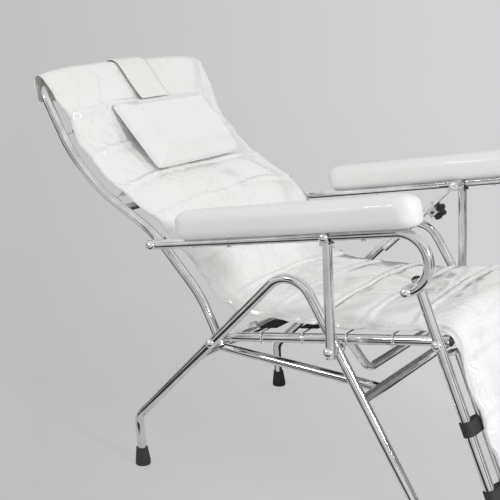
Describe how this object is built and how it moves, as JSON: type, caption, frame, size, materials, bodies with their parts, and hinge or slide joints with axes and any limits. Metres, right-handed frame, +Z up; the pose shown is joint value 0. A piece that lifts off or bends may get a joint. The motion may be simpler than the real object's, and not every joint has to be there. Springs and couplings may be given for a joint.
{
  "type": "reclining treatment chair",
  "caption": "Reclining chair of bent steel tube with padded armrests, a quilted back, seat and leg cushion, a neck pillow, a swinging leg rest and a clamped recline strut.",
  "frame": {"origin": "on the floor, under the middle of the chair's length and width at rest", "axes": "+X towards the foot end, +Y to the sitter's left, +Z up"},
  "size_m": [1.1774, 0.638, 0.854],
  "materials": {
    "tube_steel": "polished stainless",
    "bright_steel": "bright",
    "quilted_vinyl": "glossy wrinkled vinyl over foam",
    "smooth_vinyl": "smooth white vinyl over foam",
    "black_webbing": "woven",
    "black_rubber": "matt",
    "black_plastic": "satin"
  },
  "bodies": {
    "leg_base": {"leg_right": "tube_steel", "leg_left": "tube_steel", "rear_stretcher": "tube_steel", "front_stretcher": "tube_steel", "brace_right": "tube_steel", "brace_left": "tube_steel", "rear_pivot_bolts": "bright_steel", "foot_rear_right": "black_rubber", "foot_rear_left": "black_rubber", "foot_front_right": "black_rubber", "foot_front_left": "black_rubber", "strut_lug": "tube_steel"},
    "seat": {"seat_tube_right": "tube_steel", "seat_tube_left": "tube_steel", "seat_bow": "tube_steel", "seat_straps": "black_webbing", "seat_strap_hooks": "bright_steel", "seat_springs": "bright_steel", "seat_pad": "quilted_vinyl", "knee_bolts": "bright_steel", "seat_end_plugs": "black_rubber"},
    "backrest": {"back_frame": "tube_steel", "back_cross_bar": "tube_steel", "back_mat": "black_webbing", "back_springs": "bright_steel", "back_pad": "quilted_vinyl", "back_end_plugs": "black_rubber", "back_arm_bolts": "bright_steel"},
    "headrest": {"headrest_pillow": "smooth_vinyl", "headrest_strap": "smooth_vinyl"},
    "armrest_right": {"armrest_tube_right": "tube_steel", "armrest_pad_right": "smooth_vinyl", "armrest_screws_right": "bright_steel", "armrest_bolts_right": "bright_steel", "armrest_plug_right": "black_rubber"},
    "armrest_left": {"armrest_tube_left": "tube_steel", "armrest_pad_left": "smooth_vinyl", "armrest_screws_left": "bright_steel", "armrest_bolts_left": "bright_steel", "armrest_plug_left": "black_rubber"},
    "support_post_right": {"post_right": "tube_steel", "post_bolt_right": "bright_steel"},
    "support_post_left": {"post_left": "tube_steel", "post_bolt_left": "bright_steel"},
    "legrest": {"legrest_frame": "tube_steel", "legrest_carrier": "tube_steel", "legrest_brackets": "tube_steel", "legrest_clamps": "black_rubber", "legrest_pad": "quilted_vinyl", "legrest_end_plugs": "black_rubber"},
    "strut_outer": {"strut_sleeve": "tube_steel", "strut_stub": "bright_steel", "strut_clamp": "bright_steel"},
    "strut_inner": {"strut_rod": "bright_steel"},
    "knob": {"clamp_knob": "black_plastic"}
  },
  "joints": [
    {"name": "back_recline", "type": "hinge", "parent": "seat", "child": "backrest", "pos_m": [-0.08843, 0, 0.3249], "axis": [0, -1, 0], "range_deg": [-9.3, 12.39]},
    {"name": "seat_tilt", "type": "hinge", "parent": "leg_base", "child": "seat", "pos_m": [-0.08843, 0, 0.3249], "axis": [0, -1, 0], "range_deg": [-2.75, 3.65]},
    {"name": "legrest_swing", "type": "hinge", "parent": "seat", "child": "legrest", "pos_m": [0.38857, 0, 0.419], "axis": [0, -1, 0], "range_deg": [-17.48, 23.29]},
    {"name": "armrest_right_rock", "type": "hinge", "parent": "backrest", "child": "armrest_right", "pos_m": [-0.21943, -0.288, 0.511], "axis": [0, -1, 0], "range_deg": [-11.47, 8.61]},
    {"name": "armrest_left_rock", "type": "hinge", "parent": "backrest", "child": "armrest_left", "pos_m": [-0.21943, 0.288, 0.511], "axis": [0, -1, 0], "range_deg": [-11.47, 8.61]},
    {"name": "post_right_swing", "type": "hinge", "parent": "armrest_right", "child": "support_post_right", "pos_m": [0.18457, -0.288, 0.59], "axis": [0, -1, 0], "range_deg": [-8.15, 10.85]},
    {"name": "post_left_swing", "type": "hinge", "parent": "armrest_left", "child": "support_post_left", "pos_m": [0.18457, 0.288, 0.59], "axis": [0, -1, 0], "range_deg": [-8.15, 10.85]},
    {"name": "strut_tilt", "type": "hinge", "parent": "leg_base", "child": "strut_outer", "pos_m": [0.08636, 0.246, 0.48921], "axis": [0, -1, 0], "range_deg": [-12.02, 16.01]},
    {"name": "strut_slide", "type": "slide", "parent": "strut_outer", "child": "strut_inner", "axis": [0.6979, 0, 0.7162], "range_m": [-0.04297, 0.03235]},
    {"name": "clamp_knob_turn", "type": "hinge", "parent": "strut_outer", "child": "knob", "pos_m": [0.13964, 0.246, 0.52526], "axis": [0, 1, 0], "continuous": true},
    {"name": "headrest_slide", "type": "slide", "parent": "backrest", "child": "headrest", "axis": [-0.5145, 0, 0.8575], "range_m": [0, 0.06]}
  ],
  "couplings": [
    {"joint": "seat_tilt", "follows": "back_recline", "ratio": 0.29082},
    {"joint": "legrest_swing", "follows": "back_recline", "ratio": 1.8746},
    {"joint": "armrest_right_rock", "follows": "back_recline", "ratio": -0.92116},
    {"joint": "armrest_left_rock", "follows": "back_recline", "ratio": -0.92116},
    {"joint": "post_right_swing", "follows": "back_recline", "ratio": 0.87128},
    {"joint": "post_left_swing", "follows": "back_recline", "ratio": 0.87128},
    {"joint": "strut_tilt", "follows": "back_recline", "ratio": 1.2875},
    {"joint": "strut_slide", "follows": "back_recline", "m_per_rad": -0.19631}
  ]
}
